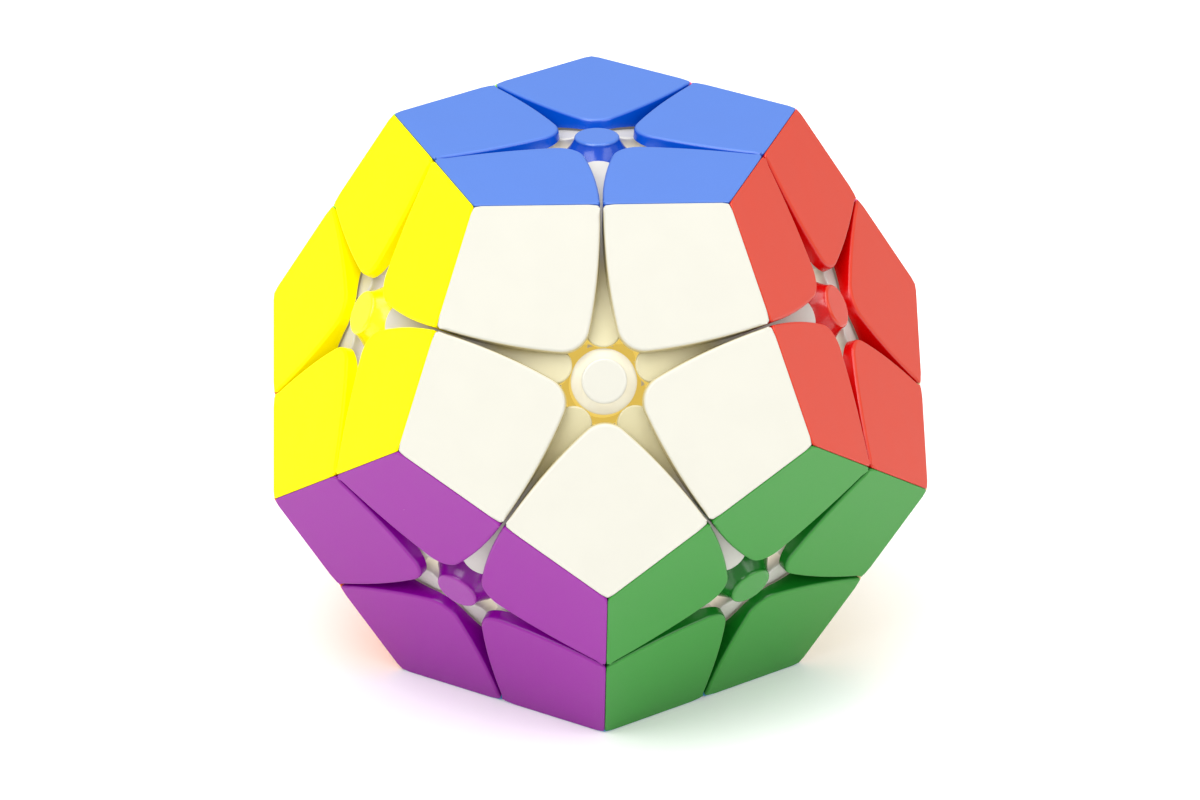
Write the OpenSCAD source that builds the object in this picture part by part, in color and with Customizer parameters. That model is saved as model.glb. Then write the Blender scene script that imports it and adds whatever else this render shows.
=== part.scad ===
// Two-layer dodecahedron twisty puzzle: twelve coloured faces of five kite tiles around a round cap.
//
// Twenty corner stems carry three tiles each, thirty hidden edge pieces slide between them, and twelve
// sprung centres hold everything to a core. Every surface between two pieces that turn past each other
// is a cone about a face axis or a sphere about the middle, so each face turns without catching.
//
// Origin at the middle of the core, +Z out of the blue face, -Z out of the face that it rests on.

/* [Overall] */
// Distance between two opposite faces
face_to_face = 74; // [66:1:90]

/* [Tiles] */
// Width of the gap between two tiles where it is narrowest, at the middle of an edge of the solid
tile_gap = 0.4; // [0.3:0.05:0.6]
// Thickness of a tile's face and of its skirts
tile_wall = 1.2; // [1.1:0.1:1.6]
// Gap between two tiles of the same corner
seam_gap = 0.08; // [0.04:0.02:0.12]
// Radius of the rounded tip of a tile, next to the cap
tip_radius = 3.6; // [3.0:0.1:3.8]
// Diameter of the peg that each tile presses onto
peg_diameter = 3; // [2.4:0.2:3.4]
// Radial play between a tile's socket and its peg
peg_play = 0.03; // [0.02:0.01:0.05]
// Distance of a peg from the axis of its face
peg_offset = 17; // [16:0.5:18]

/* [Edge pieces] */
// Depth of the edge pieces' outer sphere below a face, measured on the axis of the face
petal_depth = 1.4; // [1.0:0.1:1.6]
// Radius of the rounded end of an edge piece, next to the cap
petal_radius = 2.35; // [2.2:0.05:2.5]
// Thickness of an edge piece's two arms, between its web and its ends
arm_thickness = 4.5; // [3:0.5:6]
// Length of an edge piece's web, along the edge's arc
web_length = 12; // [10:0.5:14]

/* [Turning surfaces] */
// Gap between two pieces that turn past each other
turning_gap = 0.4; // [0.3:0.05:0.5]
// Distance from a centre's axis to the surface that cuts its stalk free
stalk_reach = 2.7; // [2.6:0.1:3.0]
// Distance from a centre's axis to the surface that cuts its flange free
flange_reach = 5.4; // [5.2:0.1:5.6]
// Distance from a centre's axis to the surface that cuts its turret free
turret_reach = 4.5; // [4.4:0.1:4.7]
// Radius of the sphere between the feet of the corners and the flanges
foot_radius = 17.5; // [17:0.25:18]
// Radius of the sphere between the flanges and the bodies of the corners
flange_radius = 22.5; // [22:0.25:23.5]
// Thickness of the walls of the hollow corner stems
stem_wall = 1.3; // [1.2:0.1:1.6]

/* [Caps] */
// Diameter of the flat top of a cap
cap_top_diameter = 6; // [5.6:0.1:6.4]
// Diameter of a cap where it sits on its turret
cap_base_diameter = 8.6; // [8.2:0.1:8.6]
// Height of a cap above its turret
cap_height = 2.6; // [2.2:0.1:3.2]
// How far a cap's top lies below the tiles
cap_recess = 0.05; // [0:0.05:0.3]

/* [Core and screws] */
// Diameter of the ball in the middle of the core
core_diameter = 15; // [14:0.5:16]
// Diameter of the core's arms
arm_diameter = 6; // [5:0.5:6.4]
// Length of an arm, from the middle of the core
arm_length = 11; // [10.5:0.25:11.5]
// Diameter of a screw's shank
screw_diameter = 2.5; // [2:0.1:2.6]
// Diameter of a screw's head
head_diameter = 4.6; // [4.2:0.1:5]
// Radial play between a screw's shank and its turret
screw_play = 0.06; // [0.03:0.01:0.1]
// Diameter of the bore that holds the spring
spring_bore = 6.4; // [6:0.1:6.8]
// Diameter of the spring's wire
wire_diameter = 0.6; // [0.5:0.05:0.7]

/* [Hidden] */
$fn = 64;

// The faces: polar angle, azimuth and spin of each axis, so that local X points at a neighbouring face
face_angle = atan(2);
BLUE = 0; WHITE = 1; RED = 2; PINK = 3; LIME = 4; YELLOW = 5;
GREY = 6; ORANGE = 7; PURPLE = 8; GREEN = 9; CREAM = 10; SKY = 11;
FACES = [
    [0, -90, 0],
    for (k = [0:4]) [face_angle, -90 + 72 * k, 180],
    for (k = [0:4]) [180 - face_angle, 90 + 72 * k, 0],
    [180, -90, 0]
];
COLOURS = [
    [0.10, 0.34, 0.90], [0.96, 0.95, 0.90], [0.86, 0.10, 0.08], [0.96, 0.55, 0.72],
    [0.55, 0.85, 0.25], [1.00, 0.92, 0.05], [0.55, 0.56, 0.58], [1.00, 0.50, 0.08],
    [0.55, 0.18, 0.62], [0.15, 0.50, 0.22], [0.94, 0.87, 0.66], [0.45, 0.75, 0.95]
];
INNER_WHITE = [0.93, 0.92, 0.86];
STEEL = [0.72, 0.73, 0.75];

// The layers that turn here, each named by its face; the other pieces stay with the core
LAYERS = [RED, YELLOW, SKY];
REST = -1;

// The solid: from the axis of a face to its corners, to the middle of its edges, and to the surface
// about the next face's axis that just touches its opposite number in the middle of an edge
face_radius = face_to_face / 2;
corner_angle = acos(sqrt((5 + 2 * sqrt(5)) / 15));
edge_angle = face_angle / 2;
touch_angle = 90 - edge_angle;
middle_radius = face_radius / cos(edge_angle);
far = 2 * face_radius;

// Spheres and surfaces, with half a gap taken from each side
half_gap = turning_gap / 2;
petal_sphere = face_radius - petal_depth;
seat_sphere = petal_sphere + turning_gap;
foot_inner = norm([arm_length, arm_diameter / 2]) + half_gap;
tile_angle = touch_angle - asin(tile_gap / 2 / middle_radius);
// How far two levels of one piece reach into each other, and how far a web stays inside its arms
level_lap = 2;
inset = 0.05;

// Pegs and sockets
peg_radius = peg_diameter / 2;
socket_radius = peg_radius + peg_play;
boss_wall = 1.1;
boss_radius = socket_radius + boss_wall;
peg_end_gap = 0.3;
socket_end_gap = 0.1;
peg_top = face_radius - tile_wall - peg_end_gap;
socket_top = peg_top + peg_end_gap - socket_end_gap;
peg_length = 7.5;

// The centre's stack, along a face axis
arm_sink = 1;
arm_root = core_diameter / 2 - arm_sink;
turret_top = face_radius - cap_recess - cap_height;
turret_radius = turret_reach - half_gap;
stalk_radius = stalk_reach - half_gap;
stalk_gap = 0.1;
stalk_end = arm_length + stalk_gap;
floor_thickness = 2;
spring_floor = foot_radius + floor_thickness;
spring_length = 5;
spring_play = 0.15;
washer_thickness = 0.5;
washer_play = 0.2;
head_height = 2;
head_gap = 0.3;
slot_width = 0.8;
slot_length = 3;
slot_depth = 1;
screw_radius = screw_diameter / 2;
screw_end = 4.5;
hole_depth = 0.5;
thread_play = 0.02;
washer_seat = spring_floor + spring_length;
head_seat = washer_seat + washer_thickness;
plug_depth = 2;
plug_play = 0.02;
spring_radius = spring_bore / 2 - spring_play - wire_diameter / 2;
cap_rim = 0.5;
cap_skirt = 0.5;

// The spring's helix, as a swept wire
turns = 4.5;
turn_steps = 10;
wire_sides = 5;
wire_gap = 0.02;

// ---- Directions ----

function spin_z(a, v) = [v.x * cos(a) - v.y * sin(a), v.x * sin(a) + v.y * cos(a), v.z];
function spin_y(a, v) = [v.x * cos(a) + v.z * sin(a), v.y, v.z * cos(a) - v.x * sin(a)];
function from_face(f, v) = spin_z(FACES[f][1], spin_y(FACES[f][0], spin_z(FACES[f][2], v)));
function face_axis(f) = from_face(f, [0, 0, 1]);
function polar(angle, azimuth) = [sin(angle) * cos(azimuth), sin(angle) * sin(azimuth), cos(angle)];
function corner_axis(f, k) = from_face(f, polar(corner_angle, 36 + 72 * k));
function edge_axis(f, k) = from_face(f, polar(edge_angle, 72 * k));

// Is the piece that lies along v, at most reach from its own faces' axes, in face f's layer?
function in_layer(f, v, reach) = face_axis(f) * v > cos(reach + 1);
// The layer that carries the piece, or REST
function carrier(v, reach) = let (found = [for (f = LAYERS) if (in_layer(f, v, reach)) f])
    len(found) > 0 ? found[0] : REST;
// Each corner and edge belongs to several faces, and is made once, from the first of them
function is_first(f, v, reach) = [for (g = [0:11]) if (in_layer(g, v, reach)) g][0] == f;

module on_face(f) {
    rotate([0, FACES[f][0], FACES[f][1]]) rotate([0, 0, FACES[f][2]]) children();
}

// Puts a child that is made about +Z on the neighbouring face's axis in direction azimuth
module on_neighbour(azimuth) {
    rotate([0, 0, azimuth]) rotate([0, face_angle, 0]) children();
}

// One child on each of the three faces that meet at the corner in direction X
module on_three_faces() {
    for (turn = [0, 120, 240])
        rotate(turn, polar(corner_angle, 0)) children();
}

// ---- Shapes shared by the pieces ----

// The inside of a layer: a cone about +Z whose side runs parallel to the next face's axis, reach from it
module layer_cone(reach) {
    translate([0, 0, reach / sin(face_angle)])
        cylinder(h = far, r1 = 0, r2 = far * tan(face_angle));
}

// The inside of a layer at the tiles, less a wall
module tile_cone(wall = 0) {
    translate([0, 0, wall / sin(tile_angle)])
        cylinder(h = far, r1 = 0, r2 = far * tan(tile_angle));
}

// What three layers share, reach or more from the axes of their faces
module corner_zone(reach) {
    intersection() {
        layer_cone(reach);
        on_neighbour(-36) layer_cone(reach);
        on_neighbour(36) layer_cone(reach);
    }
}

// What two layers share, outside the two layers at its ends
module edge_zone(along, across) {
    difference() {
        intersection() {
            layer_cone(along);
            on_neighbour(0) layer_cone(along);
        }
        on_neighbour(-72) layer_cone(across);
        on_neighbour(72) layer_cone(across);
    }
}

// Keeps the part of its children between two spheres
module between(inner, outer) {
    difference() {
        intersection() {
            sphere(outer);
            children();
        }
        sphere(inner);
    }
}

// ---- Tiles ----

// This side of the plane that splits a corner between two tiles
module tile_side(azimuth, wall) {
    rotate([0, 0, azimuth]) rotate([0, edge_angle, 0])
        translate([-far - wall, -far / 2, 0]) cube(far);
}

module tile_block(wall, top) {
    intersection() {
        translate([0, 0, face_radius / 2]) cylinder(h = top - face_radius / 2, r = face_radius);
        on_neighbour(-36) tile_cone(wall);
        on_neighbour(36) tile_cone(wall);
        tile_side(-36, wall + seam_gap / 2);
        tile_side(36, wall + seam_gap / 2);
    }
}

// What rounds the tip of a tile: all that lies near the face's axis, but for a cone that touches both sides
module tip_cutter() {
    tip_angle = asin(tip_radius / face_radius);
    lean = tip_lean(tip_angle, 0, corner_angle);
    difference() {
        cylinder(h = far, r1 = 0, r2 = far * tan(tip_reach(lean)));
        rotate([0, lean, 0]) cylinder(h = far, r1 = 0, r2 = far * tan(tip_angle));
    }
}

// Lean of the rounding cone's axis from the face's, found by halving: it is tile_angle less its own
// half angle from each neighbouring face's axis
function side_angle(lean) = acos(polar(face_angle, 36) * polar(lean, 0));
function tip_lean(tip_angle, low, high, steps = 30) = let (mid = (low + high) / 2)
    steps == 0 ? mid
    : side_angle(mid) > tile_angle - tip_angle ? tip_lean(tip_angle, mid, high, steps - 1)
    : tip_lean(tip_angle, low, mid, steps - 1);
// Angle from the face's axis to where the rounding cone touches a side
function tip_reach(lean) = let (
    neighbour = polar(face_angle, 36),
    axis = polar(lean, 0),
    away = axis - (axis * neighbour) * neighbour,
    touch = cos(tile_angle) * neighbour + sin(tile_angle) * away / norm(away)
) acos(touch.z);

module tile() {
    difference() {
        tile_block(0, face_radius);
        sphere(seat_sphere);
        tip_cutter();
        difference() {
            tile_block(tile_wall, face_radius - tile_wall);
            translate([peg_offset, 0, 0]) cylinder(h = far, r = boss_radius);
        }
        translate([peg_offset, 0, 0]) cylinder(h = socket_top, r = socket_radius);
    }
}

// The tiles of one face's colour that ride on one layer, or stay at rest
module tiles(f, layer) {
    color(COLOURS[f]) on_face(f)
        for (k = [0:4])
            if (carrier(corner_axis(f, k), corner_angle) == layer)
                rotate([0, 0, 36 + 72 * k]) tile();
}

// ---- Corner stems ----

module stem_hollow() {
    difference() {
        corner_zone(turret_reach + half_gap + stem_wall);
        sphere(flange_radius + half_gap + stem_wall);
        on_three_faces() {
            rotate([0, 0, 36]) rotate([0, edge_angle, 0])
                translate([-stem_wall / 2, -far / 2, 0]) cube([stem_wall, far, far]);
            translate([peg_offset, 0, 0]) cylinder(h = far, r = boss_radius);
        }
    }
}

module corner_stem() {
    between(foot_inner, foot_radius - half_gap) corner_zone(stalk_reach + half_gap);
    between(foot_radius - level_lap, flange_radius + level_lap) corner_zone(flange_reach + half_gap);
    difference() {
        between(flange_radius + half_gap, seat_sphere) corner_zone(turret_reach + half_gap);
        stem_hollow();
    }
    on_three_faces()
        translate([peg_offset, 0, peg_top - peg_length]) cylinder(h = peg_length, r = peg_radius);
}

module stems(layer) {
    color(INNER_WHITE)
        for (f = [0:11], k = [0:4])
            if (is_first(f, corner_axis(f, k), corner_angle)
                && carrier(corner_axis(f, k), corner_angle) == layer)
                on_face(f) rotate([0, 0, 36 + 72 * k]) corner_stem();
}

// ---- Edge pieces ----

// Rounds the end of a petal next to the axis of the face at +Z
module petal_cutter() {
    petal_end = turret_reach + half_gap + petal_radius;
    translate([0, 0, flange_radius])
        difference() {
            cylinder(h = far, r = petal_end);
            translate([petal_end, 0, -1]) cylinder(h = far + 2, r = petal_radius);
        }
}

// Wings below, a web, and two arms whose ends show between the tiles
module edge_piece() {
    arm_sphere = petal_sphere - arm_thickness;
    between(foot_radius + half_gap, flange_radius - half_gap)
        edge_zone(flange_reach + half_gap, flange_reach - half_gap);
    intersection() {
        between(foot_radius + level_lap, arm_sphere + level_lap)
            edge_zone(flange_reach + half_gap + inset, turret_reach - half_gap - inset);
        rotate([0, edge_angle, 0])
            translate([-web_length / 2, -web_length / 2, 0]) cube([web_length, web_length, far]);
    }
    difference() {
        between(arm_sphere, petal_sphere)
            edge_zone(turret_reach + half_gap, turret_reach - half_gap);
        petal_cutter();
        rotate(180, polar(edge_angle, 0)) petal_cutter();
    }
}

module edges(layer) {
    color(INNER_WHITE)
        for (f = [0:11], k = [0:4])
            if (is_first(f, edge_axis(f, k), edge_angle) && carrier(edge_axis(f, k), edge_angle) == layer)
                on_face(f) rotate([0, 0, 72 * k]) edge_piece();
}

// ---- Centres ----

module turret() {
    rotate_extrude()
        difference() {
            union() {
                translate([0, stalk_end]) square([stalk_radius, spring_floor - stalk_end]);
                intersection() {
                    difference() {
                        circle(flange_radius - half_gap);
                        circle(foot_radius + half_gap);
                    }
                    square([flange_reach - half_gap, far]);
                }
                translate([0, spring_floor]) square([turret_radius, turret_top - spring_floor]);
            }
            square([screw_radius + screw_play, far]);
            translate([0, spring_floor]) square([spring_bore / 2, far]);
        }
}

module turrets(layer) {
    color(INNER_WHITE)
        for (f = [0:11])
            if (carrier(face_axis(f), 0) == layer)
                on_face(f) turret();
}

// The cap's outline above its seat: a flared skirt and a flat top with a cut rim
function cap_outline() = let (
    base_radius = cap_base_diameter / 2,
    top_radius = cap_top_diameter / 2,
    flare_height = cap_height - cap_rim - cap_skirt
) concat(
    [[0, 0], [base_radius, 0]],
    [for (i = [0:6]) [
        base_radius - (base_radius - top_radius) * sin(15 * i), cap_skirt + flare_height * i / 6]],
    [[top_radius - cap_rim, cap_height], [0, cap_height]]
);

// A cap and the plug that holds it in the turret's bore, with room for the screw's head below it
module cap(f) {
    color(COLOURS[f]) on_face(f)
        difference() {
            translate([0, 0, turret_top])
                rotate_extrude() {
                    translate([0, -plug_depth])
                        square([spring_bore / 2 - plug_play, plug_depth + cap_skirt]);
                    polygon(cap_outline());
                }
            translate([0, 0, head_seat])
                cylinder(h = head_height + head_gap, r = head_diameter / 2 + head_gap);
        }
}

// ---- Core, screws and springs ----

module core() {
    color(INNER_WHITE)
        difference() {
            union() {
                sphere(core_diameter / 2);
                for (f = [0:11])
                    on_face(f) translate([0, 0, arm_root])
                        cylinder(h = arm_length - arm_root, r = arm_diameter / 2);
            }
            for (f = [0:11])
                on_face(f) translate([0, 0, screw_end - hole_depth])
                    cylinder(h = arm_length, r = screw_radius + thread_play);
        }
}

module centre_screws() {
    color(STEEL)
        for (f = [0:11])
            on_face(f)
                difference() {
                    union() {
                        translate([0, 0, screw_end]) cylinder(h = head_seat - screw_end, r = screw_radius);
                        translate([0, 0, head_seat]) cylinder(h = head_height, r = head_diameter / 2);
                    }
                    for (turn = [0, 90])
                        rotate([0, 0, turn])
                            translate([0, 0, head_seat + head_height])
                                cube([slot_width, slot_length, 2 * slot_depth], center = true);
                }
}

module spring_washers() {
    color(STEEL)
        for (f = [0:11])
            on_face(f) translate([0, 0, washer_seat])
                difference() {
                    cylinder(h = washer_thickness, r = spring_bore / 2 - washer_play);
                    translate([0, 0, -1]) cylinder(h = washer_thickness + 2, r = screw_radius + screw_play);
                }
}

// A point on ring i of the spring's wire, in the plane through the axis
function wire_point(i, j) = let (
    turn = 360 * i / turn_steps,
    side = 360 * j / wire_sides,
    wire = wire_diameter / 2,
    reach = spring_radius + wire * cos(side),
    rise = (spring_length - wire_diameter - 2 * wire_gap) * i / (turns * turn_steps)
) [reach * cos(turn), reach * sin(turn), wire + wire_gap + rise + wire * sin(side)];

module spring() {
    rings = turns * turn_steps;
    n = wire_sides;
    polyhedron(
        points = [for (i = [0:rings], j = [0:n - 1]) wire_point(i, j)],
        faces = concat(
            [for (i = [0:rings - 1], j = [0:n - 1]) let (k = (j + 1) % n)
                [n * i + j, n * i + k, n * (i + 1) + k, n * (i + 1) + j]],
            [[for (j = [n - 1:-1:0]) j], [for (j = [0:n - 1]) n * rings + j]]
        )
    );
}

module centre_springs() {
    color(STEEL)
        for (f = [0:11])
            on_face(f) translate([0, 0, spring_floor]) spring();
}

core();
centre_screws();
spring_washers();
centre_springs();
turrets(REST);  // centre_turrets
turrets(RED);  // red_layer_turret
turrets(YELLOW);  // yellow_layer_turret
turrets(SKY);  // base_layer_turret
edges(REST);  // edge_pieces
edges(RED);  // red_layer_edges
edges(YELLOW);  // yellow_layer_edges
edges(SKY);  // base_layer_edges
stems(REST);  // corner_stems
stems(RED);  // red_layer_stems
stems(YELLOW);  // yellow_layer_stems
stems(SKY);  // base_layer_stems
cap(BLUE);  // blue_cap
cap(WHITE);  // white_cap
cap(RED);  // red_cap
cap(PINK);  // pink_cap
cap(LIME);  // lime_cap
cap(YELLOW);  // yellow_cap
cap(GREY);  // grey_cap
cap(ORANGE);  // orange_cap
cap(PURPLE);  // purple_cap
cap(GREEN);  // green_cap
cap(CREAM);  // cream_cap
cap(SKY);  // sky_cap
tiles(BLUE, REST);  // blue_tiles
tiles(WHITE, REST);  // white_tiles
tiles(PINK, REST);  // pink_tiles
tiles(LIME, REST);  // lime_tiles
tiles(GREEN, REST);  // green_tiles
tiles(PURPLE, REST);  // purple_tiles
tiles(CREAM, REST);  // cream_tiles
tiles(ORANGE, REST);  // orange_tiles
tiles(GREY, REST);  // grey_tiles
tiles(RED, RED);  // red_layer_red_tiles
tiles(BLUE, RED);  // red_layer_blue_tiles
tiles(WHITE, RED);  // red_layer_white_tiles
tiles(PINK, RED);  // red_layer_pink_tiles
tiles(GREEN, RED);  // red_layer_green_tiles
tiles(CREAM, RED);  // red_layer_cream_tiles
tiles(YELLOW, YELLOW);  // yellow_layer_yellow_tiles
tiles(BLUE, YELLOW);  // yellow_layer_blue_tiles
tiles(WHITE, YELLOW);  // yellow_layer_white_tiles
tiles(LIME, YELLOW);  // yellow_layer_lime_tiles
tiles(PURPLE, YELLOW);  // yellow_layer_purple_tiles
tiles(ORANGE, YELLOW);  // yellow_layer_orange_tiles
tiles(SKY, SKY);  // base_layer_sky_tiles
tiles(PURPLE, SKY);  // base_layer_purple_tiles
tiles(GREEN, SKY);  // base_layer_green_tiles
tiles(CREAM, SKY);  // base_layer_cream_tiles
tiles(GREY, SKY);  // base_layer_grey_tiles
tiles(ORANGE, SKY);  // base_layer_orange_tiles
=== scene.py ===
# %% [markdown]
# # A two-layer dodecahedron puzzle
#
# The puzzle is a solid with twelve faces. Each face shows five kite tiles around a small round cap, and
# between the tiles the white ends of hidden edge pieces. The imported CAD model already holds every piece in
# its right place, so this file only makes what the eye sees: better tiles, caps and edge pieces, the
# finish of each plastic, and the studio around it.

# %% Load the frame
import math

import bmesh
import bpy
from mathutils import Matrix, Vector


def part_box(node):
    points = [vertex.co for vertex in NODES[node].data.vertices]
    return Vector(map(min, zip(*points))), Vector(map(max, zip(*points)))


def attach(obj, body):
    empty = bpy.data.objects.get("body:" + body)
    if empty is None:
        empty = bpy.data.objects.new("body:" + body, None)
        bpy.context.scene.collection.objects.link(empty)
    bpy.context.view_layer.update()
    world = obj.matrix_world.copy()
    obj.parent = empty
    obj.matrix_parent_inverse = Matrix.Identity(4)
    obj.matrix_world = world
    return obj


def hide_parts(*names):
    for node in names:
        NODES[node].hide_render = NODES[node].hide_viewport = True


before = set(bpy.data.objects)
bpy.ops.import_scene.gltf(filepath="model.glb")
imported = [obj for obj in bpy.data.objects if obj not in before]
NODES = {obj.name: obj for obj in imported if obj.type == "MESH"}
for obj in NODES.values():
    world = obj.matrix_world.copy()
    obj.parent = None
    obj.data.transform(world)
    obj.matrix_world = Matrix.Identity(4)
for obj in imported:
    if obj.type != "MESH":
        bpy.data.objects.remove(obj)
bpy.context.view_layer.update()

# %% [markdown]
# ## The shape of the solid
#
# Everything follows from one length and one angle: how far a face lies from the middle, and the angle
# between the axes of two neighbouring faces. The tangent of that angle is exactly 2. All other angles are
# sums and halves of it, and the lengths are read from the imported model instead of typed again.

# %% Measure the solid
MM = 0.001
QUARTER = math.pi / 2
FIFTH = math.tau / 5
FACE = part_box("blue_tiles")[1].z
FACE_ANGLE = math.atan(2)
EDGE_ANGLE = FACE_ANGLE / 2
CORNER_ANGLE = math.acos(math.sqrt((5 + 2 * math.sqrt(5)) / 15))
TOUCH_ANGLE = QUARTER - EDGE_ANGLE

SEAT_SPHERE = min(v.co.length for v in NODES["blue_tiles"].data.vertices)
PETAL_SPHERE = max(v.co.length for v in NODES["edge_pieces"].data.vertices)
print(f"face at {FACE / MM:.2f} mm, tiles sit at {SEAT_SPHERE / MM:.2f} mm,",
      f"petals at {PETAL_SPHERE / MM:.2f} mm")

# %% [markdown]
# Each face has a colour, and a frame of its own: Z along its axis and X towards a neighbouring face. A
# piece is modelled once in such a frame and then turned onto all the faces. The order and the turns are
# those of the CAD model, so a tile lands exactly on the tile that it stands for.

# %% Name the faces and their frames
COLOURS = ["blue", "white", "red", "pink", "lime", "yellow",
           "grey", "orange", "purple", "green", "cream", "sky"]
LAYER_FACES = {"red": "red_layer", "yellow": "yellow_layer", "sky": "base_layer"}
UP = Vector((0, 0, 1))


def turn_about(angle, axis):
    return Matrix.Rotation(angle, 4, axis)


def ring(tilt, first, spin):
    """Five frames around +Z: tilted from it, starting at an azimuth, and spun about their own axes."""
    return [turn_about(first + FIFTH * k, "Z") @ turn_about(tilt, "Y") @ turn_about(spin, "Z")
            for k in range(5)]


FACE_FRAMES = ([turn_about(-QUARTER, "Z")]
               + ring(FACE_ANGLE, -QUARTER, math.pi)
               + ring(math.pi - FACE_ANGLE, QUARTER, 0)
               + [turn_about(-QUARTER, "Z") @ turn_about(math.pi, "Y")])
FACE_AXES = [m @ UP for m in FACE_FRAMES]


def polar(angle, azimuth):
    """A direction by its angle from +Z and its azimuth from +X."""
    flat = math.sin(angle)
    return Vector((flat * math.cos(azimuth), flat * math.sin(azimuth), math.cos(angle)))


print("white looks along", [round(c, 3) for c in FACE_AXES[1]])

# %% [markdown]
# Three faces of the model turn: red, yellow and the sky blue one underneath. A piece that lies in one of
# those layers rides on its body, and every other piece stays with the core. Whether a piece lies in a
# layer is a question of angle: is the direction to the piece as close to the face's axis as a corner,
# or an edge, of that face would be?

# %% Find the layer of a piece
def faces_near(direction, reach):
    slack = math.radians(1)
    return [f for f, axis in enumerate(FACE_AXES) if axis.angle(direction) < reach + slack]


def body_at(direction, reach):
    for f in faces_near(direction, reach):
        if COLOURS[f] in LAYER_FACES:
            return LAYER_FACES[COLOURS[f]]
    return "root"


def node_in(body, plain, layered):
    """The CAD node that holds such pieces: plain on the root, or with the layer's name before it."""
    return plain if body == "root" else f"{body}_{layered}"


red_corner = FACE_FRAMES[2] @ polar(CORNER_ANGLE, FIFTH / 2)
print("a corner of the red face rides on", body_at(red_corner, CORNER_ANGLE))

# %% [markdown]
# ## The camera
#
# A long lens from about a metre away keeps the near and the far edges almost parallel. The camera looks
# down at the puzzle by 25 degrees, with the white face nearly square to it. The lens is given in widths
# of the sensor, so its angle doesn't depend on the sensor that is chosen.

# %% Place the camera
AZIMUTH, ELEVATION, ROLL = math.radians(-1.46), math.radians(24.73), math.radians(-0.22)
DISTANCE = 26.64 * FACE
SIDE_STEP, RISE = 0.0075 * FACE, -0.0344 * FACE
LENS_WIDTHS = 6.135

camera = bpy.data.objects.new("camera", bpy.data.cameras.new("camera"))
bpy.context.scene.collection.objects.link(camera)
bpy.context.scene.camera = camera
camera.data.sensor_width = 36
camera.data.lens = LENS_WIDTHS * camera.data.sensor_width
aim = turn_about(AZIMUTH, "Z") @ turn_about(QUARTER - ELEVATION, "X") @ turn_about(ROLL, "Z")
camera.matrix_world = aim @ Matrix.Translation((SIDE_STEP, RISE, DISTANCE))
print(f"lens {camera.data.lens:.0f} mm at {DISTANCE:.2f} m")

# %% [markdown]
# ## Helpers for edit mode
#
# Blender's operators act on whatever is selected, so each new piece starts by deselecting everything.
# Inside edit mode, faces and edges are picked by a test on their place or normal, never by number,
# because numbers change with every cut.

# %% Define the edit helpers
def new_piece(name, add, **options):
    """Adds one primitive under its own name and opens it in edit mode."""
    bpy.ops.object.select_all(action="DESELECT")
    add(**options)
    piece = bpy.context.object
    piece.name = piece.data.name = name
    bpy.ops.object.transform_apply(location=True, rotation=True, scale=True)
    bpy.ops.object.mode_set(mode="EDIT")
    return piece


def pick(piece, kind, test):
    """Selects the faces, edges or verts of the open piece that pass the test, and counts them."""
    bpy.ops.mesh.select_mode(type=kind.upper()[:-1])
    bpy.ops.mesh.select_all(action="DESELECT")
    mesh = bmesh.from_edit_mesh(piece.data)
    chosen = [part for part in getattr(mesh, kind) if test(part)]
    for part in chosen:
        part.select_set(True)
    mesh.select_flush_mode()
    bmesh.update_edit_mesh(piece.data)
    return len(chosen)


def cut_away(outward, point=(0, 0, 0)):
    """Cuts the open piece with a plane, drops what lies on the outward side and closes the cut."""
    bpy.ops.mesh.select_all(action="SELECT")
    bpy.ops.mesh.bisect(plane_co=point, plane_no=outward, use_fill=True, clear_outer=True,
                        threshold=1e-7)


def turn_outward():
    """Points all normals of the open piece outward."""
    bpy.ops.mesh.select_all(action="SELECT")
    bpy.ops.mesh.normals_make_consistent(inside=False)


def close(piece):
    """Leaves edit mode."""
    bpy.ops.object.mode_set(mode="OBJECT")
    return piece


def apply_all(piece):
    bpy.context.view_layer.objects.active = piece
    for modifier in list(piece.modifiers):
        bpy.ops.object.modifier_apply(modifier=modifier.name)


def combine(piece, tool, operation):
    """Adds or takes away a tool by an exact boolean, and removes the tool."""
    boolean = piece.modifiers.new(operation.lower(), "BOOLEAN")
    boolean.operation, boolean.solver, boolean.object = operation, "EXACT", tool
    apply_all(piece)
    bpy.data.objects.remove(tool)


def finish_shading(piece, sharp=40):
    """Smooth over the fillets and flat over the flats: normals weighted by area."""
    bpy.ops.object.select_all(action="DESELECT")
    piece.select_set(True)
    bpy.context.view_layer.objects.active = piece
    bpy.ops.object.shade_smooth_by_angle(angle=math.radians(sharp))
    weighted = piece.modifiers.new("weighted", "WEIGHTED_NORMAL")
    weighted.keep_sharp = True
    apply_all(piece)
    print(piece.name, "has", len(piece.data.polygons), "faces")


# %% [markdown]
# ## The kite tile
#
# A tile is a moulded shell: a flat kite on top, skirts that run down to the corner's stem, a rounded tip
# beside the cap, and inside a socket that presses onto a peg. Its sides could be drawn as curves and
# extruded, but the real ones are parts of cones whose points lie in the middle of the puzzle, because
# only such walls slide past each other. A cone is what is left when a block is cut by many planes that
# all touch it, so the block is cut with a bisect for each of those planes. The same cuts, moved inwards
# by the wall, make the hollow.

# %% Say the tile's sizes
TILE_GAP = 0.4 * MM
SEAM_GAP = 0.03 * MM
TILE_WALL = 1.2 * MM
TIP_RADIUS = 3.6 * MM
PEG_OFFSET = 17 * MM
SOCKET_RADIUS = 1.53 * MM
BOSS_RADIUS = 2.63 * MM
HALF_WAY_FILLET = 0.5 * MM
RIM_FILLET = 0.42 * MM
SEAM_SHARE = 0.4
CORNER_FILLET = 0.3 * MM
BLOCK_BOTTOM = 0.7 * FACE
WALL_END = math.radians(36.6)
WALL_CUTS, TIP_CUTS = 20, 14
TILE_ANGLE = TOUCH_ANGLE - math.asin(TILE_GAP / 2 / (FACE / math.cos(EDGE_ANGLE)))


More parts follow.
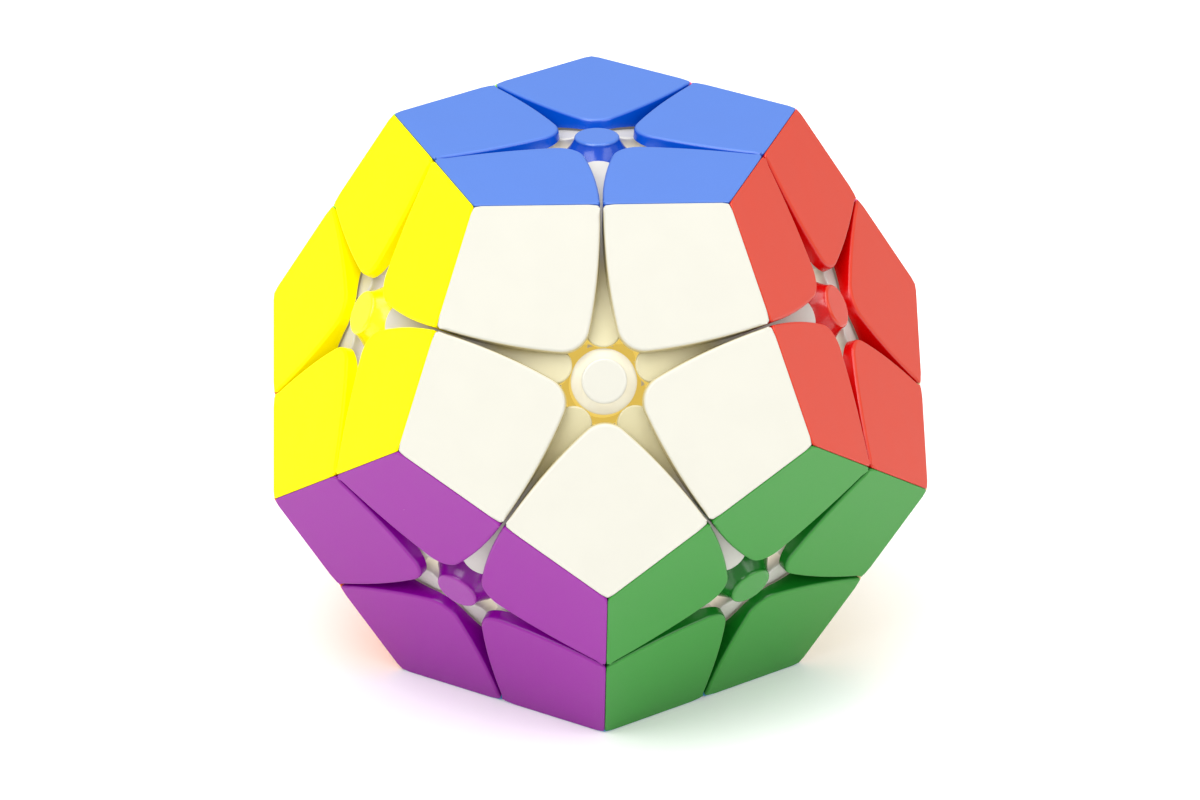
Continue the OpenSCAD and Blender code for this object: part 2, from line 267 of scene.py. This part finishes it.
# %% Cut cones and kites out of a block
def cut_cone(axis, half_angle, towards, start, stop, steps, wall=0):
    """Cuts with the planes that touch a cone about axis, from start to stop around it from towards."""
    ahead = (towards - axis * towards.dot(axis)).normalized()
    aside = axis.cross(ahead)
    for step in range(steps):
        around = start + (stop - start) * (step + 0.5) / steps
        out = ahead * math.cos(around) + aside * math.sin(around)
        normal = out * math.cos(half_angle) - axis * math.sin(half_angle)
        cut_away(normal, -normal * wall)


def lean_of_tip(tip_angle):
    """How far the rounding cone's axis leans, so that it touches both sides: found by halving."""
    low, high = math.radians(5), math.radians(30)
    for _ in range(40):
        middle = (low + high) / 2
        if polar(FACE_ANGLE, FIFTH / 2).angle(polar(middle, 0)) > TILE_ANGLE - tip_angle:
            low = middle
        else:
            high = middle
    return low


def angle_at(corner, a, b):
    """The angle at one corner of a triangle drawn on a sphere."""
    return corner.cross(a).angle(corner.cross(b))


def seam_side(side):
    """The outward direction of a tile's straight side, in the tile's own frame."""
    return polar(EDGE_ANGLE + QUARTER, side * FIFTH / 2)


def kite_block(name, top, wall):
    """A kite with its sides moved in by wall, in a face's frame with its corner towards +X."""
    beyond_corners = 1.05 * FACE * math.tan(CORNER_ANGLE)
    block = new_piece(name, bpy.ops.mesh.primitive_cylinder_add, vertices=48, radius=beyond_corners,
                      depth=top - BLOCK_BOTTOM, location=(0, 0, (top + BLOCK_BOTTOM) / 2))
    tip_angle = math.asin(TIP_RADIUS / FACE)
    tip = polar(lean_of_tip(tip_angle), 0)
    for side in (-1, 1):
        cut_away(seam_side(side), -seam_side(side) * (wall + SEAM_GAP / 2))
        neighbour = polar(FACE_ANGLE, side * FIFTH / 2)
        touch = angle_at(neighbour, UP, tip)
        cut_cone(neighbour, TILE_ANGLE, UP, side * touch, side * WALL_END, WALL_CUTS, wall)
    spread = math.pi - angle_at(tip, UP, neighbour)
    cut_cone(tip, tip_angle, UP, -spread, spread, TIP_CUTS, wall)
    return close(block)


# %% [markdown]
# The kite has four upright edges. The tip is round already, and the two corners half way along the face's
# edges and the outer corner get fillets. Edges are found by where their top ends lie.

# %% Round the upright edges
outer_corner = polar(CORNER_ANGLE, 0) * FACE / math.cos(CORNER_ANGLE)
half_way = [polar(EDGE_ANGLE, side * FIFTH / 2) * FACE / math.cos(EDGE_ANGLE) for side in (-1, 1)]


def upright_at(corners, slack=0.35 * MM, shortest=0.2 * FACE):
    """A test for the upright edges whose top end lies at one of the corners."""
    def test(edge):
        top, low = sorted((v.co for v in edge.verts), key=lambda co: -co.z)
        return top.z - low.z > shortest and any((top - c).length < slack for c in corners)
    return test


tile = kite_block("tile", FACE, 0)
bpy.ops.object.mode_set(mode="EDIT")
print("edges beside the half-way corners:", pick(tile, "edges", upright_at(half_way)))
bpy.ops.mesh.bevel(offset=HALF_WAY_FILLET, segments=5, affect="EDGES", clamp_overlap=False)
print("edge at the outer corner:", pick(tile, "edges", upright_at([outer_corner])))
bpy.ops.mesh.bevel(offset=CORNER_FILLET, segments=3, affect="EDGES", clamp_overlap=False)


# %% [markdown]
# The rim of the top gets a wide rounding where the gap to the next piece is open, and a narrow one along
# the seams, where two faces' tiles meet. One Bevel modifier makes both, by the edges' bevel weights.

# %% Round the rim
def on_rim(edge):
    return all(v.co.z > FACE - 1e-6 for v in edge.verts)


def on_seam(edge):
    return on_rim(edge) and any(all(v.co.dot(seam_side(side)) > -SEAM_GAP for v in edge.verts)
                                for side in (-1, 1))


print("edges of the rim:", pick(tile, "edges", on_rim))
bpy.ops.transform.edge_bevelweight(value=1)
print("of these on the seams:", pick(tile, "edges", on_seam))
bpy.ops.transform.edge_bevelweight(value=SEAM_SHARE - 1)
close(tile)
rounding = tile.modifiers.new("rim", "BEVEL")
rounding.limit_method, rounding.use_clamp_overlap = "WEIGHT", False
rounding.width, rounding.segments = RIM_FILLET, 4
apply_all(tile)

# %% [markdown]
# The inside is made the way a mould would make it: one core shaped like a smaller kite, with a hole in
# that core where the boss stands, and a pin for the socket. The underside is a piece of a sphere about the
# middle of the puzzle, because the edge pieces sweep past it.

# %% Hollow the tile and seat it on its sphere
peg_height = 12 * MM
socket_top = FACE - 1.4 * MM
hollow = kite_block("hollow", FACE - TILE_WALL, TILE_WALL)
boss = close(new_piece("boss", bpy.ops.mesh.primitive_cylinder_add, vertices=40, radius=BOSS_RADIUS,
                       depth=2 * peg_height, location=(PEG_OFFSET, 0, FACE - peg_height)))
combine(hollow, boss, "DIFFERENCE")
combine(tile, hollow, "DIFFERENCE")
socket = close(new_piece("socket", bpy.ops.mesh.primitive_cylinder_add, vertices=32, radius=SOCKET_RADIUS,
                         depth=peg_height, location=(PEG_OFFSET, 0, socket_top - peg_height / 2)))
combine(tile, socket, "DIFFERENCE")
seat = close(new_piece("seat", bpy.ops.mesh.primitive_uv_sphere_add, segments=120, ring_count=60,
                       radius=SEAT_SPHERE))
combine(tile, seat, "DIFFERENCE")
finish_shading(tile)
print("tile spans", [[round(c / MM, 2) for c in corner] for corner in
                     (map(min, zip(*(v.co for v in tile.data.vertices))),
                      map(max, zip(*(v.co for v in tile.data.vertices))))])

# %% [markdown]
# ## The edge piece
#
# An edge piece hides under the tiles, and only its two rounded ends show, like petals around the cap. Its
# outside is a strip of a sphere, narrow in the middle and wider at the ends, because on both sides a cone
# passes that belongs to the next corner. The strip is easiest to shape flat: each column of a grid is
# moved to its place and stretched to its width, the rims are rounded, and the arms, the web and the wings
# are extruded below it. A Simple Deform modifier then bends the whole piece around the puzzle. That
# modifier bends X towards +Y, so the strip is laid in the XZ plane, with its depth along +Y.

# %% Say the edge piece's sizes
PETAL_RADIUS = 2.42 * MM
PETAL_START = 4.4 * MM
PETAL_SIDE = math.radians(56.61)
PETAL_FILLET = 0.28 * MM
PETAL_TIP = 0.3 * MM
ARM_DEPTH = 4.5 * MM
FLANGE_SPHERE = 22.5 * MM
FOOT_SPHERE = 17.5 * MM
COLUMNS = 60
BLEND_SHARPNESS = 10


def petal_half_width(along):
    """Half the strip's width at an angle along it: the lesser of its side and its round end, blended."""
    side = PETAL_SPHERE * (TOUCH_ANGLE - math.acos(math.cos(PETAL_SIDE) / math.cos(along)))
    from_axis = PETAL_SPHERE * math.sin(EDGE_ANGLE - abs(along))
    into_end = max(PETAL_START + PETAL_RADIUS - from_axis, 0)
    round_end = math.sqrt(max(PETAL_RADIUS ** 2 - into_end ** 2, PETAL_TIP ** 2))
    if into_end == 0:
        round_end = max(round_end, side)
    return (side ** -BLEND_SHARPNESS + round_end ** -BLEND_SHARPNESS) ** (-1 / BLEND_SHARPNESS)


# %% [markdown]
# A column that has been moved to its place is parked far off along X, so that the test for the next column
# can't pick it again. At the end the whole strip is brought back.

# %% Shape the strip flat
PARKED = 10
petal = new_piece("petal", bpy.ops.mesh.primitive_grid_add, x_subdivisions=COLUMNS, y_subdivisions=1,
                  size=2, rotation=(QUARTER, 0, 0))
petal_end = EDGE_ANGLE - math.asin(PETAL_START / PETAL_SPHERE)
for column in range(COLUMNS + 1):
    place = 2 * column / COLUMNS - 1
    along = petal_end * math.sin(place * QUARTER)
    pick(petal, "verts", lambda v: abs(v.co.x - place) < 0.2 / COLUMNS)
    bpy.ops.transform.resize(value=(1, 1, petal_half_width(along)), center_override=(0, 0, 0))
    bpy.ops.transform.translate(value=(PETAL_SPHERE * along - place + PARKED, 0, 0))
bpy.ops.mesh.select_all(action="SELECT")
bpy.ops.transform.translate(value=(-PARKED, 0, 0))
round_part = PETAL_SPHERE * petal_end - 1.3 * PETAL_RADIUS
for end in (-1, 1):
    pick(petal, "faces", lambda f: end * f.calc_center_median().x > round_part)
    bpy.ops.mesh.dissolve_faces()
print("flat strip:", len(bmesh.from_edit_mesh(petal.data).faces), "faces")


# %% [markdown]
# Below the strip come, one under the other, the arms, the web between the flanges, the wings that the
# flanges hold down, and the foot. Each is one extrusion of the floor above it, with a scale along the strip
# and one across it.

# %% Grow the arms, the web and the wings
ARM_SCALES, WEB_SCALES, WING_SCALES, FOOT_SCALES = (0.951, 1.05), (1.25, 1.3), (1.25, 1.5), (0.82, 1.1)
WEB_FLOOR, WING_FLOOR, FOOT_FLOOR = 6.4 * MM, 9 * MM, 12 * MM
WING_STEP = 0.2 * MM
FOOT_GAP = 0.4 * MM


def sink(depth, x_scale, z_scale):
    """Extrudes the picked faces along +Y, and scales them along and across the strip."""
    bpy.ops.mesh.extrude_region_move(TRANSFORM_OT_translate={"value": (0, depth, 0)})
    bpy.ops.transform.resize(value=(x_scale, 1, z_scale), center_override=(0, 0, 0))


def pick_floor(depth, half_length):
    """Picks the faces that lie flat at a depth, no farther than half_length from the middle."""
    return pick(petal, "faces", lambda f: abs(f.calc_center_median().y - depth) < 1e-6
                and abs(f.calc_center_median().x) < half_length and abs(f.normal.y) > 0.9)


bpy.ops.mesh.select_all(action="SELECT")
sink(ARM_DEPTH, *ARM_SCALES)
turn_outward()
rim = pick(petal, "edges", lambda e: all(abs(v.co.y) < 1e-7 for v in e.verts)
           and abs(sum(f.normal.y for f in e.link_faces)) < 1.5)
bpy.ops.mesh.bevel(offset=PETAL_FILLET, segments=3, affect="EDGES", clamp_overlap=False)
bpy.ops.mesh.select_all(action="DESELECT")
flange_depth = PETAL_SPHERE - FLANGE_SPHERE
web = pick_floor(ARM_DEPTH, WEB_FLOOR)
sink(flange_depth - ARM_DEPTH, *WEB_SCALES)
pick_floor(flange_depth, WING_FLOOR)
sink(WING_STEP, *WING_SCALES)
pick_floor(flange_depth + WING_STEP, FOOT_FLOOR)
sink(FLANGE_SPHERE - FOOT_SPHERE - FOOT_GAP, *FOOT_SCALES)
turn_outward()
close(petal)
print("rim edges", rim, "web faces", web)

# %% Bend the piece around the puzzle
bend = petal.modifiers.new("bend", "SIMPLE_DEFORM")
bend.deform_method, bend.deform_axis = "BEND", "Z"
strip_length = max(v.co.x for v in petal.data.vertices) - min(v.co.x for v in petal.data.vertices)
bend.angle = strip_length / PETAL_SPHERE
apply_all(petal)
petal.data.transform(turn_about(-QUARTER, "X") @ Matrix.Translation((0, -PETAL_SPHERE, 0)))
finish_shading(petal)
print("bent piece lies between", [round(f(v.co.length for v in petal.data.vertices) / MM, 2)
                                  for f in (min, max)], "mm from the middle")

# %% [markdown]
# ## The cap
#
# A cap closes each centre, over its screw and spring. It is a small turned shape: a skirt as wide as the
# turret, a slightly hollow cone above it, and a flat top with a soft rim. One circle is extruded ring by
# ring along that outline. Underneath, an inset and one more extrusion make the plug that presses into the
# turret.

# %% Say the cap's sizes
CAP_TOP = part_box("blue_cap")[1].z
CAP_BASE_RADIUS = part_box("blue_cap")[1].x
CAP_SEAT = CAP_TOP - 2.6 * MM
CAP_PLUG_RADIUS = 3.18 * MM
CAP_RIM_RADIUS = 3 * MM
CAP_SKIRT = 0.1 * MM
CAP_RIM = 0.4 * MM
PLUG_DEPTH = 2 * MM
HOLLOWNESS = 0.45
FLARE_STEPS, RIM_STEPS, AROUND = 10, 5, 72


def cap_outline():
    """The cap's radius and height, ring by ring, from its seat to its flat top."""
    yield CAP_BASE_RADIUS, CAP_SEAT + CAP_SKIRT
    flare_width = CAP_BASE_RADIUS - CAP_RIM_RADIUS
    flare_height = CAP_TOP - CAP_RIM - CAP_SEAT - CAP_SKIRT
    for step in range(1, FLARE_STEPS + 1):
        rise = step / FLARE_STEPS
        yield (CAP_BASE_RADIUS - flare_width * rise * (1 + HOLLOWNESS * (1 - rise)),
               CAP_SEAT + CAP_SKIRT + flare_height * rise)
    for step in range(1, RIM_STEPS + 1):
        turn = QUARTER * step / RIM_STEPS
        yield (CAP_RIM_RADIUS - CAP_RIM * (1 - math.cos(turn)),
               CAP_TOP - CAP_RIM + CAP_RIM * math.sin(turn))


# %% Model the cap once
cap = new_piece("cap", bpy.ops.mesh.primitive_circle_add, vertices=AROUND, radius=CAP_BASE_RADIUS,
                fill_type="NGON", location=(0, 0, CAP_SEAT))
bpy.ops.mesh.select_all(action="SELECT")
radius, height = CAP_BASE_RADIUS, CAP_SEAT
for next_radius, next_height in cap_outline():
    bpy.ops.mesh.extrude_region_move(TRANSFORM_OT_translate={"value": (0, 0, next_height - height)})
    shrink = next_radius / radius
    bpy.ops.transform.resize(value=(shrink, shrink, 1), center_override=(0, 0, next_height))
    radius, height = next_radius, next_height
pick(cap, "faces", lambda f: len(f.verts) == AROUND and f.calc_center_median().z < CAP_SEAT + 1e-6)
bpy.ops.mesh.inset(thickness=CAP_BASE_RADIUS - CAP_PLUG_RADIUS)
bpy.ops.mesh.extrude_region_move(TRANSFORM_OT_translate={"value": (0, 0, -PLUG_DEPTH)})
turn_outward()
close(cap)
finish_shading(cap, sharp=50)

# %% [markdown]
# ## Finishes
#
# A material is a tree of nodes, and a sum in it takes a node for each sign. The class below wraps a socket
# and lets Python write those nodes: an expression such as 1 - mask adds its own Math node.

# %% Wrap a shader socket
class Wire:
    """A socket of a material's tree, which can be used in sums."""

    def __init__(self, tree, socket=None):
        self.tree, self.socket = tree, socket

    def node(self, kind, settings=None, values=None, output=0):
        """Adds a node: first its settings, then the values or wires of its sockets."""
        node = self.tree.nodes.new("ShaderNode" + kind)
        for key, value in (settings or {}).items():
            setattr(node, key, value)
        for key, value in (values or {}).items():
            if isinstance(value, Wire):
                self.tree.links.new(value.socket, node.inputs[key])
            else:
                node.inputs[key].default_value = value
        return Wire(self.tree, node.outputs[output])

    def math(self, operation, first, second=0.0):
        return self.node("Math", {"operation": operation}, {0: first, 1: second})

    def __add__(self, other):
        return self.math("ADD", self, other)

    def __sub__(self, other):
        return self.math("SUBTRACT", self, other)

    def __rsub__(self, other):
        return self.math("SUBTRACT", other, self)

    def __mul__(self, other):
        return self.math("MULTIPLY", self, other)

    __radd__, __rmul__ = __add__, __mul__

    def step(self, low, high):
        """0 below low, 1 above high, and smooth between them."""
        return self.node("MapRange", {"interpolation_type": "SMOOTHSTEP"},
                         {"Value": self, "From Min": low, "From Max": high})


def mix(factor, first, second):
    """A colour between two colours, each a wire or a triple."""
    ready = [c if isinstance(c, Wire) else (*c, 1) for c in (first, second)]
    return factor.node("Mix", {"data_type": "RGBA"}, {0: factor, 6: ready[0], 7: ready[1]}, output=2)


# %% Start a material
def new_finish(name):
    """A material, the place on the piece as a wire, and a function that wires up its shader."""
    material = bpy.data.materials.new(name)
    material.use_nodes = True
    tree = material.node_tree
    shader = next(n for n in tree.nodes if n.type == "BSDF_PRINCIPLED")
    place = Wire(tree).node("TexCoord", output="Object")

    def finish(wired, plain):
        for key, wire in wired.items():
            tree.links.new(wire.socket, shader.inputs[key])
        for key, value in plain.items():
            shader.inputs[key].default_value = value
        return material

    return place, finish


def noise(place, size, detail=2, roughness=0.5):
    """A cloudy pattern from 0 to 1, whose patches are about size metres across."""
    return place.node("TexNoise", None, {"Vector": place, "Scale": 1 / size, "Detail": detail,
                                         "Roughness": roughness})


def dots(place, spacing, radius, share):
    """Small round dots, one in some of the cells of a grid, as a mask."""
    cells = {"Vector": place, "Scale": 1 / spacing}
    distance = place.node("TexVoronoi", None, cells, output="Distance")
    chance = place.node("TexVoronoi", None, cells, output="Color")
    lucky = place.node("SeparateColor", None, {0: chance}, output=0).step(1 - share, 1 - share + 0.001)
    return lucky * (1 - distance.step(radius / spacing * 0.6, radius / spacing))


def rise_along(place, axis):
    """How far a place lies along an axis through the middle of the puzzle."""
    return place.node("VectorMath", {"operation": "DOT_PRODUCT"}, {0: place, 1: tuple(axis)},
                      output="Value")


def bumps(place, strength, depth, height):
    """Normals that show a pattern as bumps of a depth in metres."""
    return place.node("Bump", None, {"Strength": strength, "Distance": depth, "Height": height})


# %% [markdown]
# The coloured plastic is dyed right through. The mould's cavity was polished for the walls, and given a
# very fine satin texture for the faces, so that fingers grip and prints don't show. One mask tells them
# apart: how far the place lies along the axis of its face. The same mask paints the colour: the faces are
# painted paler than the walls, a painted sheen, and the white walls a warm tan, painted light that passes
# through the plastic.

# %% Make the coloured plastics
def dyed_plastic(name, colour, wall_colour, axis, gloss=0.4):
    """Satin on top and polished on the walls, with faint clouds and a few paler specks."""
    place, finish = new_finish(name)
    satin_and_sheen = rise_along(place, axis).step(FACE - 0.35 * MM, FACE - 0.05 * MM)
    grain = noise(place, 0.12 * MM, detail=3)
    cloud = noise(place, 5 * MM)
    speck = dots(place, 2.6 * MM, 0.06 * MM, 0.12) * satin_and_sheen
    deep = tuple(0.985 * c for c in colour)
    pale = tuple(c + (1 - c) * 0.55 for c in colour)
    # Painted sheen: the faces take the paler colour of their table, the walls their own deeper one.
    tone = mix(satin_and_sheen, wall_colour, mix(cloud.step(0.3, 0.7), deep, colour))
    return finish({"Base Color": mix(speck, tone, pale),
                   "Roughness": 0.2 + 0.26 * satin_and_sheen + 0.1 * (grain - 0.5) * satin_and_sheen + 0.04 * cloud,
                   "Normal": bumps(place, 0.35, 0.006 * MM, grain * satin_and_sheen)},
                  {"IOR": 1.5, "Specular IOR Level": gloss})


# The faces' colours: the dye, painted paler by a sheen.
DYES_AND_SHEEN = {
    "blue": (0.05, 0.14, 0.475), "white": (0.505, 0.495, 0.435), "red": (0.535, 0.03, 0.005),
    "pink": (0.75, 0.2, 0.38), "lime": (0.28, 0.6, 0.05), "yellow": (0.95, 0.86, 0.0),
    "grey": (0.23, 0.24, 0.26), "orange": (0.85, 0.2, 0.01), "purple": (0.25, 0.008, 0.27),
    "green": (0.025, 0.23, 0.02), "cream": (0.72, 0.6, 0.34), "sky": (0.12, 0.44, 0.72),
}
# The walls' colours: the dye without the faces' painted sheen; the white walls are painted a warm tan for
# light that passes through the plastic.
WALL_DYES_AND_WARM_LIGHT = {
    "blue": (0.0, 0.07, 0.5), "white": (0.5, 0.44, 0.25), "red": (0.52, 0.0, 0.0),
    "pink": (0.7, 0.1, 0.28), "lime": (0.22, 0.55, 0.01), "yellow": (0.9, 0.78, 0.0),
    "grey": (0.15, 0.155, 0.17), "orange": (0.8, 0.12, 0.0), "purple": (0.2, 0.0, 0.25),
    "green": (0.005, 0.14, 0.01), "cream": (0.66, 0.5, 0.22), "sky": (0.05, 0.35, 0.68),
}
GLOSS = {"yellow": 0.04, "red": 0.45, "blue": 0.6, "purple": 0.33}
PLASTICS = {name: dyed_plastic(name + " plastic", DYES_AND_SHEEN[name], WALL_DYES_AND_WARM_LIGHT[name], axis, GLOSS.get(name, 0.4))
            for name, axis in zip(COLOURS, FACE_AXES)}
print("plastics:", ", ".join(PLASTICS))

# %% [markdown]
# The caps come from a polished mould: glossy, with a few faint waves where the plastic shrank. Their tops
# are painted paler than their sides, a painted sheen. Pale plastic lets some light through, and a painted
# glow on the sides of the pale caps stands in for that light.

# %% Make the plastics of the caps
def cap_plastic(name, colour, side_colour, axis, glow_share):
    place, finish = new_finish(name)
    wave = noise(place, 2.5 * MM)
    top = rise_along(place, axis).step(CAP_TOP - 0.4 * MM, CAP_TOP - 0.1 * MM)
    glow = tuple(glow_share * c for c in colour)
    # Painted sheen on the top, and a painted glow on the sides of the pale caps.
    return finish({"Base Color": mix(top, side_colour, colour), "Roughness": 0.16 + 0.08 * wave,
                   "Normal": bumps(place, 0.2, 0.05 * MM, wave),
                   "Emission Color": mix(top, glow, (0, 0, 0))},
                  {"IOR": 1.5, "Emission Strength": 1.0})


# The painted glow of the sides as a share of the cap's colour, and the sides' colours without the tops'
# painted sheen.
CAP_GLOW = {"white": 0.65, "cream": 0.3}
CAP_SIDES = WALL_DYES_AND_WARM_LIGHT | {"white": (0.5, 0.475, 0.38), "blue": (0, 0.05, 0.42)}
CAP_PLASTICS = {name: cap_plastic(name + " cap plastic", DYES_AND_SHEEN[name], CAP_SIDES[name], axis,
                                  CAP_GLOW.get(name, 0))
                for name, axis in zip(COLOURS, FACE_AXES)}
print("caps that glow:", ", ".join(CAP_GLOW))

# %% [markdown]
# The edge pieces and the stems are the undyed white of the same plastic, a little duller. Light seeps
# through the tiles into the gaps, and through white tiles it comes out warm. To follow that light through
# the plastic would take long, so painted light stands in for it: a weak painted glow, and under the white
# face a colour painted warm tan, darker deep in the gaps. Two masks steer it: a mask by depth, and a mask
# by the angle from the white face's axis, whose cosine is what the two limits are given in.

# %% Make the undyed plastic
GLOW_DEPTHS = PETAL_SPHERE - 2 * MM, PETAL_SPHERE - 0.2 * MM
WARM_COSINES = 0.87, 0.93


def inner_plastic(name, colour, warm_light_colour, roughness, glow=(0, 0, 0), warm_glow=(0, 0, 0)):
    place, finish = new_finish(name)
    grain, cloud = noise(place, 0.2 * MM, detail=3), noise(place, 4 * MM)
    from_middle = place.node("VectorMath", {"operation": "LENGTH"}, {0: place}, output="Value")
    warm = place.math("DIVIDE", rise_along(place, FACE_AXES[1]), from_middle).step(*WARM_COSINES)
    depth = 1 - from_middle.step(*GLOW_DEPTHS)
    # Painted light: a warm tan near the white face, darker and more golden deep in the gaps.
    tone = mix(warm, colour, mix(depth, warm_light_colour, tuple(0.8 * c for c in warm_glow)))
    # The emission is a painted glow, faint everywhere and strongest deep in the gaps.
    return finish({"Base Color": mix(cloud.step(0.3, 0.7) * 0.05, tone, (0, 0, 0)),
                   "Roughness": roughness + 0.12 * (grain - 0.5),
                   "Normal": bumps(place, 0.3, 0.008 * MM, grain),
                   "Emission Color": mix(0.2 + 0.8 * depth, (0, 0, 0), mix(warm, glow, warm_glow))},
                  {"IOR": 1.5, "Emission Strength": 1.0})


# The warm colour and the two glows are painted light that comes through the tiles.
WHITE_INNER = inner_plastic("white inner plastic", (0.49, 0.48, 0.45), (0.47, 0.44, 0.29), 0.32,
                            glow=(0.42, 0.37, 0.3), warm_glow=(0.46, 0.35, 0.08))
CORE_PLASTIC = inner_plastic("core plastic", (0.8, 0.79, 0.74), (0.8, 0.79, 0.74), 0.45)
print("undyed plastics:", WHITE_INNER.name, "and", CORE_PLASTIC.name)

# %% [markdown]
# The screws, washers and springs are plated steel, with fine scratches in it.

# %% Make the steel
def plated_steel(name):
    place, finish = new_finish(name)
    scratch = noise(place, 0.08 * MM, detail=4, roughness=0.7)
    cloud = noise(place, 1.2 * MM)
    return finish({"Base Color": mix(cloud.step(0.3, 0.7), (0.5, 0.5, 0.52), (0.68, 0.69, 0.7)),
                   "Roughness": 0.22 + 0.2 * scratch,
                   "Normal": bumps(place, 0.25, 0.004 * MM, scratch)}, {"Metallic": 1.0})


STEEL = plated_steel("plated steel")
print(len(bpy.data.materials), "materials in all")


# %% [markdown]
# ## Putting the pieces together
#
# Each finished piece is copied onto every place where the puzzle has one. A copy gets its own mesh, turned
# into place, so that its object can stay at the origin. It rides on the body of its layer, and the CAD node
# of that place is hidden.

# %% Place the copies
def place_copy(master, name, matrix, material, body, node):
    piece = master.copy()
    piece.data = master.data.copy()
    piece.name = piece.data.name = name
    piece.data.transform(matrix)
    piece.data.materials.clear()
    piece.data.materials.append(material)
    bpy.context.scene.collection.objects.link(piece)
    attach(piece, body)
    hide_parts(node)


counts = dict.fromkeys(("tile", "edge piece", "cap"), 0)
for f, (colour, face) in enumerate(zip(COLOURS, FACE_FRAMES)):
    centre_body = LAYER_FACES.get(colour, "root")
    place_copy(cap, f"{colour}_centre_cap", face, CAP_PLASTICS[colour],
               centre_body, f"{colour}_cap")
    counts["cap"] += 1
    for k in range(5):
        corner = face @ turn_about(FIFTH * (k + 0.5), "Z")
        body = body_at(corner @ polar(CORNER_ANGLE, 0), CORNER_ANGLE)
        place_copy(tile, f"{colour}_tile_{k + 1}", corner, PLASTICS[colour],
                   body, node_in(body, f"{colour}_tiles", f"{colour}_tiles"))
        counts["tile"] += 1
        edge = face @ turn_about(FIFTH * k, "Z") @ turn_about(EDGE_ANGLE, "Y")
        middle = edge @ UP
        if faces_near(middle, EDGE_ANGLE)[0] == f:
            body = body_at(middle, EDGE_ANGLE)
            counts["edge piece"] += 1
            place_copy(petal, f"edge_piece_{counts['edge piece']}", edge, WHITE_INNER,
                       body, node_in(body, "edge_pieces", "edges"))
for master in (tile, petal, cap):
    bpy.data.objects.remove(master)
print(counts)

# %% [markdown]
# The stems, turrets, core, screws, washers and springs have their true shape already, so those CAD nodes
# stay, and only get their finish.

# %% Finish the CAD nodes that stay
KEPT = {"core": CORE_PLASTIC, "centre_screws": STEEL, "spring_washers": STEEL, "centre_springs": STEEL,
        "corner_stems": WHITE_INNER, "centre_turrets": WHITE_INNER}
for layer in LAYER_FACES.values():
    KEPT[f"{layer}_stems"] = KEPT[f"{layer}_turret"] = WHITE_INNER
for name, material in KEPT.items():
    if not NODES[name].material_slots:
        NODES[name].data.materials.append(material)
    for material_slot in NODES[name].material_slots:
        material_slot.material = material
print(len(KEPT), "CAD nodes finished")

# %% [markdown]
# ## The studio
#
# A white floor runs away to a white surround. Three large soft lamps light the puzzle as in a light tent: a
# strong one in front to the left, a weaker one in front to the right, and one straight above. So shadows
# are faint, and the gloss of the plastic shows as broad pale patches. The floor has a weak glow, for the
# light that the tent's own walls would send back to it.

# %% Build the floor
FLOOR_SIZE = 3
FLOOR_GLOW = 0.09
bpy.ops.object.select_all(action="DESELECT")
bpy.ops.mesh.primitive_plane_add(size=FLOOR_SIZE, location=(0, 0, -FACE))
floor = bpy.context.object
floor.name = "floor"
bpy.ops.object.transform_apply(location=True, rotation=False, scale=False)
place, finish = new_finish("pale floor")
paper = noise(place, 0.6 * MM, detail=3)
floor.data.materials.append(finish(
    {"Base Color": mix(paper, (0.9, 0.9, 0.9), (0.93, 0.93, 0.93)),
     "Normal": bumps(place, 0.1, 0.02 * MM, paper)},
    {"Roughness": 0.9, "Specular IOR Level": 0.1, "Emission Color": (1, 1, 1, 1),
     "Emission Strength": FLOOR_GLOW}))
print("floor of", FLOOR_SIZE, "m")

# %% Light the studio
SURROUND_LIGHT = 0.62
world = bpy.data.worlds.new("studio")
bpy.context.scene.world = world
world.use_nodes = True
world.node_tree.nodes["Background"].inputs["Color"].default_value = (1, 1, 1, 1)
world.node_tree.nodes["Background"].inputs["Strength"].default_value = SURROUND_LIGHT
bpy.context.scene.view_settings.view_transform = "Standard"


def soft_lamp(name, azimuth, elevation, distance, size, power):
    """A square lamp that looks at the puzzle from azimuth (0 is the front) and elevation, in degrees."""
    lamp = bpy.data.objects.new(name, bpy.data.lights.new(name, "AREA"))
    bpy.context.scene.collection.objects.link(lamp)
    lamp.data.size, lamp.data.energy = size, power
    turn = turn_about(math.radians(azimuth), "Z") @ turn_about(QUARTER - math.radians(elevation), "X")
    lamp.matrix_world = turn @ Matrix.Translation((0, 0, distance))


soft_lamp("key", azimuth=-40, elevation=50, distance=0.7, size=0.5, power=3.6)
soft_lamp("fill", azimuth=50, elevation=35, distance=0.8, size=0.5, power=2)
soft_lamp("top", azimuth=0, elevation=88, distance=0.7, size=0.6, power=3.6)
print(len(bpy.data.lights), "lamps")
